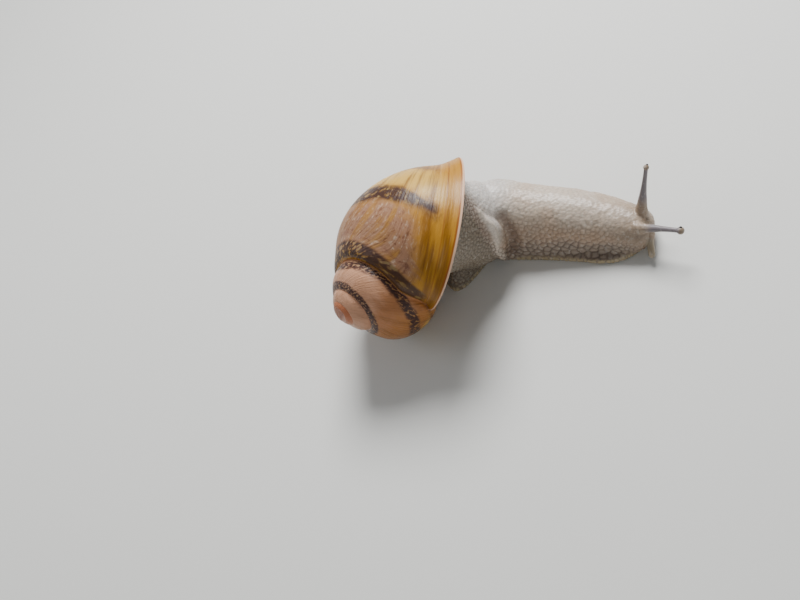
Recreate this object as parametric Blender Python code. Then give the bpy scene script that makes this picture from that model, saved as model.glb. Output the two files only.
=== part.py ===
"""A garden snail, Cornu aspersum, out of its shell and turning to its left, as a still life-size model.

Metres, +Z up, head towards +X. The origin is on the sole, under the root of the neck. The flesh is modelled
whole, as lofts joined into one body, and thin cuts part it into the nodes that a person would name.
"""

import math

import bmesh
import bpy
from mathutils import Euler, Matrix, Quaternion, Vector

MM = 0.001
GAP = 0.3 * MM  # every cut between two neighbours
WELD = 0.0001 * MM

# The shell: a tube whose rings grow as they turn about its axis. Turns count back from the mouth, near 0.
SHELL_APEX = Vector((-23.44, -28.25, 16.62)) * MM
SHELL_TURN = Euler([math.radians(angle) for angle in (63.54, 40.55, -49.21)])
SHELL_RADIUS = 20.25 * MM  # from the axis to the outside of the last whorl
FIRST_TURN = -4.1
MOUTH_TURN = -0.0135
WIDENING = 0.891  # how fast the radius grows with each turn, as a power of e
WIDENING_CHANGE = 0.086  # the early whorls widen less
RING_WIDTH = 0.552  # half a ring's width, as a share of the shell's radius there
RING_HEIGHT = 0.682  # half its height along its lean, as a share of that radius
SPIRE_DROP = 1.118  # how far a ring lies below the apex, as a share of that radius
SPIRE_STRETCH = 0.175
RING_SLANT = 0.032
RING_LEAN = 0.764  # radians that a ring, and so the mouth, leans forward over the neck
TIP_TURNS = 0.4  # over which the tube's first end rounds off
SHOULDER = 0.15  # how far a ring bulges towards the apex, as a share of the shell's radius there
SHOULDER_ANGLE = 104  # degrees round the ring at which it bulges most
SHOULDER_SPREAD = 24
SHOULDER_LOSS = 0.05  # how much less the earlier whorls bulge
SHOULDER_FADES = (-0.4, -1.2)  # turns over which the shoulder's loss sets in
SHOULDER_STARTS = (-0.02, -0.12)  # turns over which the shoulder rises, away from the mouth
LIP_FLARE = 1.7 * MM  # how far the lip's lower outer corner turns out
LIP_ANGLE = -80
LIP_SPREAD = 36
LIP_TURNS = 0.075  # over which it turns out
RINGS_A_TURN = 20
RING_POINTS = 24
WALL = 0.55 * MM
OPEN_TURNS = 0.13  # length of tube left hollow behind the lip
SHELL_START = FIRST_TURN + 0.03  # the shell's first ring, just past the point
SPIRE_END = MOUTH_TURN - 0.62  # the whorls up to here stand clear of the mouth's own
PAST_THE_LIP = 0.03  # turns that the hollow's cutter reaches beyond the lip

# The front of the body, station by station in mm:
# x, y, half width of the sole, half width of the back, height, and lift of the underside.
FRONT = (
    (28.5, -2.5, 0.9, 1.4, 4.2, 2.3),
    (27.9, -2.4, 1.9, 2.9, 5.3, 1.5),
    (26.9, -2.3, 2.8, 4.0, 6.1, 1.0),
    (26.0, -2.1, 3.2, 4.4, 6.6, 0.5),
    (25.2, -1.9, 3.8, 4.6, 6.9, 0.0),
    (24.0, -1.6, 5.1, 4.8, 7.2, 0.0),
    (22.2, -1.2, 6.3, 5.1, 7.6, 0.0),
    (19.0, -0.6, 7.3, 5.6, 8.4, 0.0),
    (14.0, -0.1, 7.4, 6.1, 9.7, 0.0),
    (9.0, 0.1, 7.1, 6.4, 10.8, 0.0),
    (4.0, 0.2, 7.0, 6.8, 12.1, 0.0),
    (0.5, 0.2, 6.9, 7.2, 13.6, 0.0),
    (-1.4, 0.4, 6.3, 6.9, 14.1, 0.0),
    (-2.8, 0.7, 5.4, 6.0, 13.8, 0.0),
)
# The rear of the foot and the tail, drawn aside under the shell, with the same measures.
REAR = (
    (1.0, 1.4, 3.4, 3.6, 6.0, 0.0),
    (-2.0, 1.0, 4.6, 4.8, 8.0, 0.0),
    (-4.0, -0.4, 5.9, 6.2, 9.6, 0.0),
    (-6.0, -2.5, 7.5, 7.8, 9.8, 0.0),
    (-8.0, -4.3, 8.5, 8.6, 9.0, 0.0),
    (-10.0, -5.1, 8.7, 8.3, 7.7, 0.0),
    (-12.0, -4.7, 7.6, 6.9, 6.1, 0.0),
    (-14.0, -4.0, 6.2, 4.9, 5.0, 0.0),
    (-18.0, -3.4, 5.2, 3.9, 4.4, 0.0),
    (-22.0, -3.1, 4.4, 3.3, 3.8, 0.0),
    (-26.0, -2.8, 3.4, 2.6, 3.1, 0.0),
    (-30.0, -2.5, 2.2, 1.6, 2.3, 0.0),
    (-33.6, -2.3, 0.9, 0.6, 1.3, 0.0),
)
ROWS_A_STATION = 2
RIM_HEIGHT = 1.1  # thickness of the foot's rim, in mm
SOLE_POINTS = 5
BACK_POINTS = 15

# The stalk that rises from the foot into the mouth, in mm: centre, half depth, half width, lean to the mouth.
STALK = (
    (-4.4, -1.8, 1.8, 4.6, 5.6, 0.0),
    (-4.6, -2.9, 4.8, 6.2, 8.2, 0.15),
    (-5.0, -4.1, 8.4, 6.6, 8.9, 0.5),
    (-5.6, -6.4, 12.0, 6.9, 9.2, 0.85),
    (-6.0, -9.1, 15.1, 7.2, 9.1, 1.0),
    (-7.2, -10.2, 17.0, 7.2, 9.0, 1.0),
)
STALK_POINTS = 22
COLLAR_SINK = 0.012  # turns that the mantle's collar stands back from the lip
COLLAR_CLEARANCE = 0.68 * MM  # measured in the plane of a ring, which leans, so the true gap is less
COLLAR_PLAY = 0.02  # turns between the collar's inner end and the bottom of the hollow

# The fold of skin inside the bend, in mm: place and radius.
FOLD = (
    (-2.2, -5.6, 16.2, 0.8),
    (-0.8, -6.5, 13.8, 1.5),
    (-0.1, -6.5, 11.2, 1.9),
    (0.0, -6.6, 8.6, 2.1),
    (-0.4, -6.8, 5.6, 1.9),
    (-0.4, -6.6, 2.8, 1.5),
    (1.4, -6.0, 1.2, 0.9),
)
FOLD_POINTS = 10

# Horns in mm: root, reach to the tip, droop, radius at root, at tip and of the knob, and where cuts part them.
HORNS = {
    "upper_tentacle_left": ((26.4, -0.7, 5.4), (2.9, 3.8, 9.6), 0.3, 1.45, 0.38, 0.52, (0.27, 0.62)),
    "upper_tentacle_right": ((25.9, -3.7, 5.4), (9.25, -1.7, 1.15), 1.3, 1.3, 0.44, 0.70, (0.33, 0.66)),
    "lower_tentacle_left": ((26.4, -0.9, 2.8), (0.3, 2.8, -2.3), 0.2, 0.85, 0.46, 0.50, (0.64,)),
    "lower_tentacle_right": ((27.8, -3.5, 3.3), (0.7, -4.1, -1.8), 0.2, 1.2, 0.62, 0.62, (0.5,)),
}
HORN_POINTS = 12
HORN_ROWS = 9
KNOB_ROWS = 6
KNOB_FLAT = 0.004  # where a knob ends in a tiny flat, short of its pole
HORN_FLARE = 2.2  # how fast a horn thins from its root
EYE_RADIUS = 0.26
EYE_PLAY = 0.1  # between an eye and its socket
# From the middle of each knob to its eye, in mm: each eye looks a little away from the head's middle.
EYES = {"left": (0.14, 0.38, 0.14), "right": (0.1, 0.3, 0.53)}

# Where cuts part the flesh, in mm: along the neck, along the foot, and the height of the stalk's root.
NECK_CUTS = {"head": 21.0, "neck_front": 11.5, "neck_rear": 2.6}
FOOT_CUTS = {"foot_middle": -12.2, "foot_rear": -22.5}
STALK_CUT = 7.6

COLOURS = {
    "shell": ((0.42, 0.22, 0.06, 1.0), 0.25),
    "eye": ((0.02, 0.015, 0.01, 1.0), 0.15),
    "tentacle": ((0.33, 0.29, 0.30, 1.0), 0.4),
    "flesh": ((0.60, 0.52, 0.44, 1.0), 0.4),
}


def new_object(name, mesh, collection):
    obj = bpy.data.objects.new(name, mesh)
    collection.objects.link(obj)
    return obj


def loft(name, rings, collection):
    """A closed body through rings of like point counts, with a flat cap at either end."""
    bm = bmesh.new()
    rows = [[bm.verts.new(point) for point in ring] for ring in rings]
    count = len(rows[0])
    for first, second in zip(rows, rows[1:]):
        for i in range(count):
            j = (i + 1) % count
            bm.faces.new((first[i], first[j], second[j], second[i]))
    bm.faces.new(rows[0][::-1])
    bm.faces.new(rows[-1])
    bmesh.ops.recalc_face_normals(bm, faces=bm.faces)
    mesh = bpy.data.meshes.new(name)
    bm.to_mesh(mesh)
    bm.free()
    return new_object(name, mesh, collection)


def rows_through(stations, steps):
    """Rows on a smooth curve through the stations, with this many from each station to the next."""
    rows = [Vector(row) for row in stations]
    padded = [2 * rows[0] - rows[1]] + rows + [2 * rows[-1] - rows[-2]]
    found = []
    for before, start, end, after in zip(padded, padded[1:], padded[2:], padded[3:]):
        for step in range(steps):
            t = step / steps
            straight = 2 * start + (end - before) * t
            bend = (2 * before - 5 * start + 4 * end - after) * t**2
            twist = (3 * start - before - 3 * end + after) * t**3
            found.append(0.5 * (straight + bend + twist))
    return found + [rows[-1]]


def oval(centre, side, up, half_side, half_up, count):
    """Points round an ellipse in the plane of two unit directions."""
    angles = [2 * math.pi * i / count for i in range(count)]
    return [centre + side * half_side * math.cos(a) + up * half_up * math.sin(a) for a in angles]


def pipe(name, path, radii, count, collection):
    """A round loft along a path, its rings turned as little as they can be from one to the next."""
    rings = []
    side = None
    for i, (place, radius) in enumerate(zip(path, radii)):
        heading = (path[min(i + 1, len(path) - 1)] - path[max(i - 1, 0)]).normalized()
        side = heading.orthogonal() if side is None else side - heading * side.dot(heading)
        side.normalize()
        rings.append(oval(place, side, heading.cross(side), radius, radius, count))
    return loft(name, rings, collection)


def box(name, centre, size, collection):
    bm = bmesh.new()
    bmesh.ops.create_cube(bm, size=1, matrix=Matrix.LocRotScale(Vector(centre) * MM, None, Vector(size) * MM))
    mesh = bpy.data.meshes.new(name)
    bm.to_mesh(mesh)
    bm.free()
    return new_object(name, mesh, collection)


def combine(obj, other, operation, crosses_itself=False):
    modifier = obj.modifiers.new(operation.title(), "BOOLEAN")
    modifier.operation = operation
    modifier.object = other
    modifier.use_self = crosses_itself


def islands_of(bm):
    """The mesh's separate islands, as lists of vertices, largest first."""
    unseen = set(bm.verts)
    islands = []
    while unseen:
        island = [unseen.pop()]
        for vert in island:
            for edge in vert.link_edges:
                other = edge.other_vert(vert)
                if other in unseen:
                    unseen.remove(other)
                    island.append(other)
        islands.append(island)
    return sorted(islands, key=len, reverse=True)


def settled(obj):
    """The object's mesh with its placement and modifiers applied."""
    bpy.context.view_layer.update()
    evaluated = obj.evaluated_get(bpy.context.evaluated_depsgraph_get())
    mesh = bpy.data.meshes.new_from_object(evaluated)
    mesh.transform(obj.matrix_world)
    bm = bmesh.new()
    bm.from_mesh(mesh)
    bpy.data.meshes.remove(mesh)
    bmesh.ops.remove_doubles(bm, verts=bm.verts, dist=WELD)
    return bm


def keep_largest(obj):
    """Applies everything and drops the crumbs that a Boolean leaves."""
    bm = settled(obj)
    for island in islands_of(bm)[1:]:
        bmesh.ops.delete(bm, geom=island, context="VERTS")
    bm.to_mesh(obj.data)
    bm.free()
    obj.modifiers.clear()
    obj.matrix_world = Matrix()


# ---- shell ----


def ease(value, low, high):
    """Smoothly from 0 at low to 1 at high, which may be the lower of the two."""
    share = min(1.0, max(0.0, (value - low) / (high - low)))
    return share * share * (3 - 2 * share)


def nearness(angle, degrees, spread):
    """1 where the angle is this many degrees, falling away on either side."""
    off = (math.degrees(angle) - degrees + 180) % 360 - 180
    return math.exp(-((off / spread) ** 2))


def ring_point(turn, angle, swell):
    """A point of the ring at this turn, in the shell's own frame: apex at the origin, axis along +Z."""
    radius = SHELL_RADIUS * math.exp(WIDENING * turn + WIDENING_CHANGE * turn**2)
    tip = min(1.0, (turn - FIRST_TURN) / TIP_TURNS)
    roundness = math.sqrt(max(0.0, 1 - (1 - tip) ** 2))
    shoulder = (SHOULDER - SHOULDER_LOSS * ease(turn, *SHOULDER_FADES)) * ease(turn, *SHOULDER_STARTS)
    bulge = shoulder * radius * roundness * nearness(angle, SHOULDER_ANGLE, SHOULDER_SPREAD)
    turned_out = ease(turn, MOUTH_TURN - LIP_TURNS, MOUTH_TURN) ** 2
    swell += LIP_FLARE * turned_out * nearness(angle, LIP_ANGLE, LIP_SPREAD)
    width = RING_WIDTH * radius * roundness + swell
    height = RING_HEIGHT * radius * roundness + swell
    outward = radius * (1 - RING_WIDTH) + width * math.cos(angle)
    rise = height * math.sin(angle)
    drop = SPIRE_DROP * radius * math.exp(SPIRE_STRETCH * turn)
    forward = rise * math.sin(RING_LEAN)
    turned = 2 * math.pi * turn
    return Vector((
        outward * math.sin(turned) + forward * math.cos(turned),
        outward * math.cos(turned) - forward * math.sin(turned),
        rise * math.cos(RING_LEAN) + RING_SLANT * width * math.cos(angle) - drop + bulge,
    ))


def shell_tube(name, start, end, swell, collection):
    """The shell's tube from one turn to another, closed at both ends and placed on the snail."""
    count = max(4, round((end - start) * RINGS_A_TURN))
    angles = [2 * math.pi * j / RING_POINTS for j in range(RING_POINTS)]
    turns = [start + (end - start) * i / count for i in range(count + 1)]
    obj = loft(name, [[ring_point(turn, a, swell) for a in angles] for turn in turns], collection)
    obj.location = SHELL_APEX
    obj.rotation_euler = SHELL_TURN
    return obj


def make_shell(part, cutters):
    spire = shell_tube("spire_cutter", SHELL_START, SPIRE_END, 0, cutters)
    hollow = shell_tube("hollow_cutter", MOUTH_TURN - OPEN_TURNS, MOUTH_TURN + PAST_THE_LIP, -WALL, cutters)
    combine(hollow, spire, "DIFFERENCE", crosses_itself=True)
    shell = shell_tube("shell", SHELL_START, MOUTH_TURN, 0, part)
    combine(shell, hollow, "DIFFERENCE", crosses_itself=True)
    combine(shell, box("floor_cutter", (-20, -20, -2), (30, 30, 4), cutters), "DIFFERENCE")
    keep_largest(shell)
    return shell


# ---- flesh ----


def trunk_ring(x, y, sole, back, height, lift):
    """A section across the foot and back: flat below, a thin rim at either side, a domed back between."""
    lift = max(0.0, lift)
    rim = min(RIM_HEIGHT, 0.4 * (height - lift))
    flat = [(-sole * 0.95 * (1 - 2 * i / (SOLE_POINTS - 1)), 0.0) for i in range(SOLE_POINTS)]
    dome = []
    for i in range(BACK_POINTS):
        angle = math.pi * (i + 0.5) / BACK_POINTS
        reach = math.cos(angle)
        rise = math.sin(angle) ** 0.9
        dome.append((back * reach, rim + (height - lift - rim) * rise))
    edge = [(sole, 0.45 * rim), (0.96 * sole, rim)]
    points = flat + edge + dome + [(-a, b) for a, b in reversed(edge)]
    return [Vector((x, y + a, lift + b)) * MM for a, b in points]


def make_trunk(name, stations, collection):
    return loft(name, [trunk_ring(*row) for row in rows_through(stations, ROWS_A_STATION)], collection)


def mouth_turn():
    """The mouth's frame: x across it from the shell's axis outwards, y along it away from the apex, z inwards."""
    outward = Vector((0, 1, 0))
    down = Vector((-math.sin(RING_LEAN), 0, -math.cos(RING_LEAN)))
    frame = Matrix((outward, down, outward.cross(down))).transposed()
    return (SHELL_TURN.to_matrix() @ frame).to_quaternion()


def make_stalk(collection):
    """The stalk from the foot into the shell's mouth, with the mantle's collar that fills the mouth."""
    rings = []
    for *centre, depth, width, lean in rows_through(STALK, 2):
        turn = Quaternion().slerp(mouth_turn(), min(1.0, max(0.0, lean)))
        side, up = turn @ Vector((1, 0, 0)), turn @ Vector((0, 1, 0))
        rings.append(oval(Vector(centre) * MM, side, up, depth * MM, width * MM, STALK_POINTS))
    start = MOUTH_TURN - OPEN_TURNS + COLLAR_PLAY
    collar = shell_tube("collar", start, MOUTH_TURN - COLLAR_SINK, -WALL - COLLAR_CLEARANCE, collection)
    stalk = loft("stalk", rings, collection)
    combine(stalk, collar, "UNION")
    # The solid whorls bulge into the mouth, so what would touch them is cut away.
    whorls = shell_tube("whorls", SHELL_START, MOUTH_TURN - OPEN_TURNS, COLLAR_CLEARANCE, collection)
    combine(stalk, whorls, "DIFFERENCE", crosses_itself=True)
    keep_largest(stalk)
    return stalk


def make_fold(collection):
    rows = rows_through(FOLD, 3)
    return pipe("fold", [row.xyz * MM for row in rows], [row.w * MM for row in rows], FOLD_POINTS, collection)


def horn_point(horn, along):
    """A point on a horn's middle line, which droops towards its tip."""
    root, reach, droop = HORNS[horn][:3]
    place = Vector(root) + Vector(reach) * along
    return (place + Vector((0, 0, droop * along * (1 - along)))) * MM


def make_horn(name, suffix, start, end, collection):
    """A length of a horn between two shares of its whole length."""
    length = Vector(HORNS[name][1]).length
    thick, thin, knob = HORNS[name][3:6]
    knob_start = 1 - 2 * knob / length
    places = [start + (end - start) * i / HORN_ROWS for i in range(HORN_ROWS + 1)]
    if end == 1:
        places = [place for place in places if place < knob_start]
        places += [1 - knob / length * (1 + math.cos(math.pi * i / KNOB_ROWS)) for i in range(KNOB_ROWS)]
        places += [1 - KNOB_FLAT]
    radii = []
    for along in places:
        shaft = thin + (thick - thin) * max(0.0, 1 - along / knob_start) ** HORN_FLARE
        past = (along - knob_start) * length
        bulb = math.sqrt(max(0.0, knob**2 - (knob - past) ** 2)) if past > 0 else 0
        radii.append(max(bulb, shaft if past < knob else 0) * MM)
    return pipe(name + suffix, [horn_point(name, a) for a in places], radii, HORN_POINTS, collection)


def make_horns(part, cutters):
    """Parts each horn from its root and into its lengths, and returns the roots, which belong to the head."""
    roots = []
    for name, (_, reach, *_, places) in HORNS.items():
        half = GAP / MM / Vector(reach).length / 2
        roots.append(make_horn(name, "_root", 0, places[0] - half, cutters))
        ends = [*places, 1 + half]
        for start, end, suffix in zip(ends, ends[1:], ("", "_tip")):
            make_horn(name, suffix, start + half, end - half, part)
    return roots


def make_flesh(part, cutters):
    """All the flesh as one body, before the cuts."""
    flesh = make_trunk("flesh", FRONT, part)
    joined = [make_trunk("rear", REAR, cutters), make_stalk(cutters), make_fold(cutters)]
    joined += make_horns(part, cutters)
    for other in joined:
        combine(flesh, other, "UNION")
    keep_largest(flesh)
    return flesh


def ball(name, centre, radius, collection):
    bm = bmesh.new()
    bmesh.ops.create_uvsphere(bm, u_segments=12, v_segments=8, radius=radius * MM)
    mesh = bpy.data.meshes.new(name)
    bm.to_mesh(mesh)
    bm.free()
    obj = new_object(name, mesh, collection)
    obj.location = centre
    return obj


def side_of(bm, point, normal):
    """A closed copy of what lies beyond a plane, kept half a gap clear of it."""
    kept = bm.copy()
    geometry = kept.verts[:] + kept.edges[:] + kept.faces[:]
    place = Vector(point) * MM + normal * GAP / 2
    bmesh.ops.bisect_plane(kept, geom=geometry, plane_co=place, plane_no=normal, clear_inner=True)
    bmesh.ops.holes_fill(kept, edges=[edge for edge in kept.edges if edge.is_boundary], sides=0)
    return kept


def part_flesh(flesh, collection):
    """Parts the flesh by one cut after another, each taking one named node off what is left."""
    along, up = Vector((1, 0, 0)), Vector((0, 0, 1))
    inwards = mouth_turn() @ up
    mouth = SHELL_APEX + SHELL_TURN.to_matrix() @ ring_point(MOUTH_TURN - COLLAR_SINK, 0, 0)
    rest = settled(flesh)
    for name, x in NECK_CUTS.items():
        keep_node(name, side_of(rest, (x, 0, 0), along), collection)
        rest = side_of(rest, (x, 0, 0), -along)
    upper = side_of(rest, (0, 0, STALK_CUT), up)
    keep_node("mantle_collar", side_of(upper, mouth / MM, inwards), collection)
    keep_node("body_stalk", side_of(upper, mouth / MM, -inwards), collection)
    rest = side_of(rest, (0, 0, STALK_CUT), -up)
    for name, x in FOOT_CUTS.items():
        keep_node(name, side_of(rest, (x, 0, 0), along), collection)
        rest = side_of(rest, (x, 0, 0), -along)
    keep_node("tail", rest, collection)
    bpy.data.objects.remove(flesh)


def keep_node(name, bm, collection):
    for island in islands_of(bm)[1:]:
        bmesh.ops.delete(bm, geom=island, context="VERTS")
    mesh = bpy.data.meshes.new(name)
    bm.to_mesh(mesh)
    bm.free()
    new_object(name, mesh, collection)


def make_eyes(part, cutters):
    for side in ("left", "right"):
        horn = f"upper_tentacle_{side}"
        length = Vector(HORNS[horn][1]).length
        knob = HORNS[horn][5]
        place = horn_point(horn, 1 - knob / length) + Vector(EYES[side]) * MM
        ball(f"eye_{side}", place, EYE_RADIUS, part)
        tip = part.objects[horn + "_tip"]
        combine(tip, ball(f"socket_{side}", place, EYE_RADIUS + EYE_PLAY, cutters), "DIFFERENCE")


def finish(obj):
    key = next((key for key in COLOURS if key in obj.name), "flesh")
    colour, roughness = COLOURS[key]
    material = bpy.data.materials.new(obj.name)
    material.use_nodes = True
    shader = material.node_tree.nodes["Principled BSDF"]
    shader.inputs["Base Color"].default_value = colour
    shader.inputs["Roughness"].default_value = roughness
    shader.inputs["Metallic"].default_value = 0
    obj.data.materials.clear()
    obj.data.materials.append(material)
    obj.data.shade_smooth()
    obj.data.set_sharp_from_angle(angle=math.radians(40))


def main():
    for obj in list(bpy.data.objects):
        bpy.data.objects.remove(obj)
    part = bpy.data.collections.new("Snail")
    cutters = bpy.data.collections.new("Cutters")
    for collection in (part, cutters):
        bpy.context.scene.collection.children.link(collection)
    make_shell(part, cutters)
    flesh = make_flesh(part, cutters)
    part_flesh(flesh, part)
    make_eyes(part, cutters)
    for obj in cutters.objects:
        obj.hide_render = True
        obj.display_type = "WIRE"
    for obj in part.objects:
        finish(obj)


main()
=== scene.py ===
"""A garden snail's looks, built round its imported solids: a fine shell, one skin over the flesh, and the eyes.

Laid out as an add-on: sizes and colours are properties, each piece has an operator, and one panel lists them.
Metres, +Z up, head towards +X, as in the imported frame. Lengths in the tables are in mm.
"""

import math

import bmesh
import bpy
import numpy as np
from bpy.props import FloatProperty, FloatVectorProperty, IntProperty, PointerProperty
from bpy.types import Operator, Panel, PropertyGroup
from mathutils import Euler, Matrix, Quaternion, Vector, kdtree, noise


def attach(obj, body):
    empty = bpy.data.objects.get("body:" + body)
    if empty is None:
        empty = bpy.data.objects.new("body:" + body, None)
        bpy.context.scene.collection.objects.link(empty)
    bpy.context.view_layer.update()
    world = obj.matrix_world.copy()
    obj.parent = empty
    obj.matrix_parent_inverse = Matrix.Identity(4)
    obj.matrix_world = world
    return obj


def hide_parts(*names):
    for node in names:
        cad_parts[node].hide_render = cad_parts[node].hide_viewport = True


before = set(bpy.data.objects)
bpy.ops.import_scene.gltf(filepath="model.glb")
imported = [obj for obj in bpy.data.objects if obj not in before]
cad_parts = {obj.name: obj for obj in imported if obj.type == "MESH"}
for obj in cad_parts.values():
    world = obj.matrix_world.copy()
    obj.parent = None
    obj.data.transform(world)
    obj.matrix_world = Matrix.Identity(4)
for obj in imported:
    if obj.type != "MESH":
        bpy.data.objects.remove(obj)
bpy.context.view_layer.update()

bl_info = {
    "name": "Garden Snail",
    "version": (1, 0, 0),
    "blender": (4, 5, 0),
    "location": "3D View > Sidebar > Snail",
    "description": "Builds a life-size garden snail: shell, skin, eyes and stage",
    "category": "Add Mesh",
}

MM = 0.001

# ---- the shell's rule of growth: turns run from below -4 at the apex to near 0 at the mouth ----

SHELL_APEX = Vector((-23.44, -28.25, 16.62))
SHELL_TURN = Euler([math.radians(angle) for angle in (63.54, 40.55, -49.21)]).to_matrix()
SHELL_RADIUS = 20.25  # from the axis to the outside of the tube, at turn 0
FIRST_TURN = -4.1
MOUTH_TURN = -0.0135
WIDENING = 0.891
WIDENING_CHANGE = 0.086
# Half the tube's width, half its height and how far it lies below the apex, as shares of the radius.
RING_WIDTH = 0.552
RING_HEIGHT = 0.682
SPIRE_DROP = 1.118
SPIRE_STRETCH = 0.175
RING_SLANT = 0.032
RING_LEAN = 0.764
TIP_TURNS = 0.4  # over which the closed tip widens to the full tube
SHELL_START = FIRST_TURN + 0.03
SPIRE_END = MOUTH_TURN - 0.62
OPEN_TURNS = 0.13  # how far the hollow goes in behind the lip
SHOULDER = 0.15
SHOULDER_ANGLE = 104
SHOULDER_SPREAD = 24
SHOULDER_LOSS = 0.05
SHOULDER_FADES = (-0.4, -1.2)
SHOULDER_STARTS = (-0.02, -0.12)
LIP_FLARE = 1.7
LIP_ANGLE = -80
LIP_SPREAD = 36
LIP_TURNS = 0.075
FLARE_TURNS = 0.02  # over which the lip's edge flares out all round
SHELL_POINTS = 64  # points round the shell's tube
# Close to the mouth the rings stand closer: turns before it, how many rings, and how much closer they get.
LATE_TURNS, LATE_RINGS, LATE_POWER = 0.03, 13, 1.5
# The rounding of the lip: turns past the mouth, and how far the tube has drawn in there, in mm.
LIP_OUTSIDE = ((0.0012, -0.05), (0.0018, -0.18))
LIP_INSIDE = ((0.0, 0.02), (0.001, 0.07), (0.0018, 0.2), (0.01, 0.6), (0.03, 1.2))
HOLLOW_TURNS = (-0.02, -0.012, -0.006, -0.002)
HOLLOW_RINGS = 12
SHARP_EDGE = math.radians(38)

# ---- the body's stations, as its solids have them ----

# x, y, half width of the sole, half width of the back, height, and lift of the underside.
FRONT = (
    (28.5, -2.5, 0.9, 1.4, 4.2, 2.3),
    (27.9, -2.4, 1.9, 2.9, 5.3, 1.5),
    (26.9, -2.3, 2.8, 4.0, 6.1, 1.0),
    (26.0, -2.1, 3.2, 4.4, 6.6, 0.5),
    (25.2, -1.9, 3.8, 4.6, 6.9, 0.0),
    (24.0, -1.6, 5.1, 4.8, 7.2, 0.0),
    (22.2, -1.2, 6.3, 5.1, 7.6, 0.0),
    (19.0, -0.6, 7.3, 5.6, 8.4, 0.0),
    (14.0, -0.1, 7.4, 6.1, 9.7, 0.0),
    (9.0, 0.1, 7.1, 6.4, 10.8, 0.0),
    (4.0, 0.2, 7.0, 6.8, 12.1, 0.0),
    (0.5, 0.2, 6.9, 7.2, 13.6, 0.0),
    (-1.4, 0.4, 6.3, 6.9, 14.1, 0.0),
    (-2.8, 0.7, 5.4, 6.0, 13.8, 0.0),
)
REAR = (
    (1.0, 1.4, 3.4, 3.6, 6.0, 0.0),
    (-2.0, 1.0, 4.6, 4.8, 8.0, 0.0),
    (-4.0, -0.4, 5.9, 6.2, 9.6, 0.0),
    (-6.0, -2.5, 7.5, 7.8, 9.8, 0.0),
    (-8.0, -4.3, 8.5, 8.6, 9.0, 0.0),
    (-10.0, -5.1, 8.7, 8.3, 7.7, 0.0),
    (-12.0, -4.7, 7.6, 6.9, 6.1, 0.0),
    (-14.0, -4.0, 6.2, 4.9, 5.0, 0.0),
    (-18.0, -3.4, 5.2, 3.9, 4.4, 0.0),
    (-22.0, -3.1, 4.4, 3.3, 3.8, 0.0),
    (-26.0, -2.8, 3.4, 2.6, 3.1, 0.0),
    (-30.0, -2.5, 2.2, 1.6, 2.3, 0.0),
    (-33.6, -2.3, 0.9, 0.6, 1.3, 0.0),
)
RIM_HEIGHT = 1.1
# Up the rim's side, as shares of the sole's half width and of the rim's height.
RIM_SIDE = ((0.985, 0.12), (1.0, 0.45), (0.985, 0.8), (0.95, 1.0))
SOLE_STEPS = 16
BACK_POINTS = 61
BACK_SQUARENESS = 0.9
ROWS_A_STATION = 8
# Centre, half depth, half width and lean of the stalk that rises into the shell's mouth.
STALK = (
    (-4.4, -1.8, 1.8, 4.6, 5.6, 0.0),
    (-4.6, -2.9, 4.8, 6.2, 8.2, 0.15),
    (-5.0, -4.1, 8.4, 6.6, 8.9, 0.5),
    (-5.6, -6.4, 12.0, 6.9, 9.2, 0.85),
    (-6.0, -9.1, 15.1, 7.2, 9.1, 1.0),
    (-7.2, -10.2, 17.0, 7.2, 9.0, 1.0),
)
STALK_POINTS = 72
STALK_ROWS = 6
COLLAR_SINK = 0.012
COLLAR_PLAY = 0.02
COLLAR_CLEARANCE = 0.68
COLLAR_RINGS = 10
COLLAR_POINTS = 48
CUTTER_RINGS = 40  # in a turn
CUTTER_POINTS = 40
WALL = 0.55
CALLUS = 0.06  # thickness of the layer that lines the mouth where it crosses the whorl before
# Place and radius along the fold of skin inside the bend.
FOLD = (
    (-2.2, -5.6, 16.2, 0.8),
    (-0.8, -6.5, 13.8, 1.5),
    (-0.1, -6.5, 11.2, 1.9),
    (0.0, -6.6, 8.6, 2.1),
    (-0.4, -6.8, 5.6, 1.9),
    (-0.4, -6.6, 2.8, 1.5),
    (1.4, -6.0, 1.2, 0.9),
)
FOLD_POINTS = 32
# Along the fold's crest, the valley between it and the neck, the mouth, and the breathing pore.
CREST = (
    (-0.2, -6.7, 16.5),
    (0.6, -7.0, 14.1),
    (1.3, -7.5, 12.0),
    (1.0, -8.3, 9.9),
    (0.2, -8.6, 6.9),
    (0.3, -8.2, 3.8),
)
VALLEY = (
    (2.0, -4.0, 11.2),
    (2.9, -5.0, 9.2),
    (3.1, -6.0, 7.0),
    (2.6, -6.7, 5.0),
    (1.8, -7.0, 3.6),
)
MOUTH = (
    (28.5, -2.5, 2.9),
    (28.2, -2.5, 2.2),
    (27.4, -2.4, 1.5),
)
BREATHING_PORE = (
    (-2.4, -12.6, 21.6),
    (-2.5, -13.0, 21.2),
)
# Root, reach to the tip, droop, radius at the root, at the tip and of the knob.
TENTACLES = {
    "upper_tentacle_left": ((26.4, -0.7, 5.4), (2.9, 3.8, 9.6), 0.3, 1.45, 0.38, 0.52),
    "upper_tentacle_right": ((25.9, -3.7, 5.4), (9.25, -1.7, 1.15), 1.3, 1.3, 0.44, 0.70),
    "lower_tentacle_left": ((26.4, -0.9, 2.8), (0.3, 2.8, -2.3), 0.2, 0.85, 0.46, 0.50),
    "lower_tentacle_right": ((27.8, -3.5, 3.3), (0.7, -4.1, -1.8), 0.2, 1.2, 0.62, 0.62),
}
TENTACLE_FLARE = 2.2
TENTACLE_ROWS = 70
TENTACLE_POINTS = 28
KNOB_ROWS = 12
KNOB_FLAT = 0.002
EYE_RADIUS = 0.26
# From the middle of each knob to its eye.
EYES = {"left": (0.14, 0.38, 0.14), "right": (0.1, 0.3, 0.53)}

# ---- how the skin is finished, in mm ----

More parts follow.
